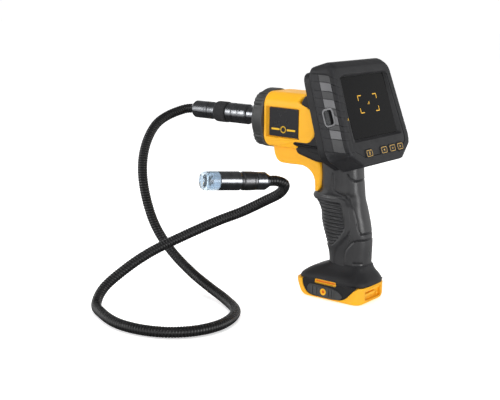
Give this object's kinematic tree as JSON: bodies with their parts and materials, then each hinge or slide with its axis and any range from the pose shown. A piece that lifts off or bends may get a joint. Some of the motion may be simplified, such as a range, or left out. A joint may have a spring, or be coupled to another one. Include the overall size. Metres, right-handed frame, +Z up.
{
  "type": "inspection camera",
  "caption": "Cordless pistol-grip inspection camera with a detachable screen and a stay-put gooseneck ending in a lit camera head; stands on its battery foot, battery not fitted.",
  "frame": {"origin": "on the floor under the middle of the footprint box of the tool without its gooseneck, camera head and cable ferrule", "axes": "+Z up, +Y forward along the barrel towards the gooseneck connector, +X to the user's right"},
  "size_m": [0.2677, 0.2556, 0.2276],
  "materials": {
    "yellow_abs": "satin moulded plastic",
    "soft_black_rubber": "soft overmould, matte",
    "black_abs": "fine spark-eroded texture",
    "dark_grey_abs": "matte",
    "light_grey_abs": "matte",
    "black_anodised": "black anodised, glossy",
    "gooseneck_black": "satin ribbed jacket over a stay-put coil",
    "screen_glass": "dark, polished",
    "clear_window": "clear polished",
    "circuit_board": "solder mask",
    "lcd": "off screen",
    "steel": "plain",
    "brass_parts": "plain"
  },
  "bodies": {
    "tool": {"housing_left": "yellow_abs", "housing_right": "yellow_abs", "side_plate_left": "dark_grey_abs", "side_plate_right": "dark_grey_abs", "nose_ring": "soft_black_rubber", "socket_body": "black_anodised", "socket_seal": "soft_black_rubber", "plug_body": "black_anodised", "cable_ferrule": "black_anodised", "main_board": "circuit_board", "video_board": "circuit_board", "thumbwheel_shaft": "steel", "grip_left": "soft_black_rubber", "grip_right": "soft_black_rubber", "foot_skirt": "black_abs", "battery_frame": "yellow_abs", "cheek_left": "black_abs", "cheek_right": "black_abs", "hook_pad_left": "dark_grey_abs", "hook_pad_right": "dark_grey_abs", "hook_insert_left": "brass_parts", "hook_insert_right": "brass_parts", "terminal_block": "black_abs", "battery_contact_1": "brass_parts", "battery_contact_2": "brass_parts", "battery_contact_3": "brass_parts", "dock_frame": "black_abs", "dock_contacts": "brass_parts", "release_spring": "steel", "housing_screw_1": "steel", "housing_screw_2": "steel", "housing_screw_3": "steel", "housing_screw_4": "steel", "housing_screw_5": "steel", "gooseneck_tube": "gooseneck_black", "head_ferrule": "black_anodised", "head_collar": "black_anodised", "head_tube": "black_anodised", "lamp_board": "circuit_board", "camera_module": "steel", "head_window": "clear_window"},
    "coupling_ring": {"coupling_nut": "black_anodised"},
    "dimmer_wheel": {"thumbwheel": "soft_black_rubber"},
    "display": {"display_bezel": "black_abs", "display_glass": "screen_glass", "display_rear_cover": "black_abs", "lcd_panel": "lcd", "display_board": "circuit_board", "display_battery": "dark_grey_abs", "bumper_left": "soft_black_rubber", "bumper_right": "soft_black_rubber", "slider_frame": "light_grey_abs"},
    "power_key": {"power_slider": "dark_grey_abs"},
    "port_flap": {"port_cover": "soft_black_rubber"},
    "release_key": {"display_release": "soft_black_rubber"},
    "key_1": {"button_1": "soft_black_rubber"},
    "key_2": {"button_2": "soft_black_rubber"},
    "key_3": {"button_3": "soft_black_rubber"},
    "key_4": {"button_4": "soft_black_rubber"}
  },
  "joints": [
    {"name": "display_lift", "type": "slide", "parent": "tool", "child": "display", "axis": [0, 0.319, 0.9478], "range_m": [0, 0.045]},
    {"name": "release_press", "type": "slide", "parent": "tool", "child": "release_key", "axis": [0, -0.319, -0.9478], "range_m": [0, 0.0018], "stiffness_N_per_m": 500, "springref_m": -0.001},
    {"name": "coupling_turn", "type": "hinge", "parent": "tool", "child": "coupling_ring", "pos_m": [0, 0.0868, 0.1665], "axis": [0, 1, 0], "continuous": true},
    {"name": "dimmer_turn", "type": "hinge", "parent": "tool", "child": "dimmer_wheel", "pos_m": [0, -0.0012, 0.1322], "axis": [1, 0, 0], "range_deg": [0, 270]},
    {"name": "power_slide", "type": "slide", "parent": "display", "child": "power_key", "axis": [0, -0.9478, 0.319], "range_m": [0, 0.003]},
    {"name": "port_flap_swing", "type": "hinge", "parent": "display", "child": "port_flap", "pos_m": [0.051, -0.06596, 0.1859], "axis": [0, 0.319, 0.9478], "range_deg": [0, 100]},
    {"name": "key_1_press", "type": "slide", "parent": "display", "child": "key_1", "axis": [0, 0.9478, -0.319], "range_m": [0, 0.0008], "stiffness_N_per_m": 400, "springref_m": -0.0005},
    {"name": "key_2_press", "type": "slide", "parent": "display", "child": "key_2", "axis": [0, 0.9478, -0.319], "range_m": [0, 0.0008], "stiffness_N_per_m": 400, "springref_m": -0.0005},
    {"name": "key_3_press", "type": "slide", "parent": "display", "child": "key_3", "axis": [0, 0.9478, -0.319], "range_m": [0, 0.0008], "stiffness_N_per_m": 400, "springref_m": -0.0005},
    {"name": "key_4_press", "type": "slide", "parent": "display", "child": "key_4", "axis": [0, 0.9478, -0.319], "range_m": [0, 0.0008], "stiffness_N_per_m": 400, "springref_m": -0.0005}
  ]
}
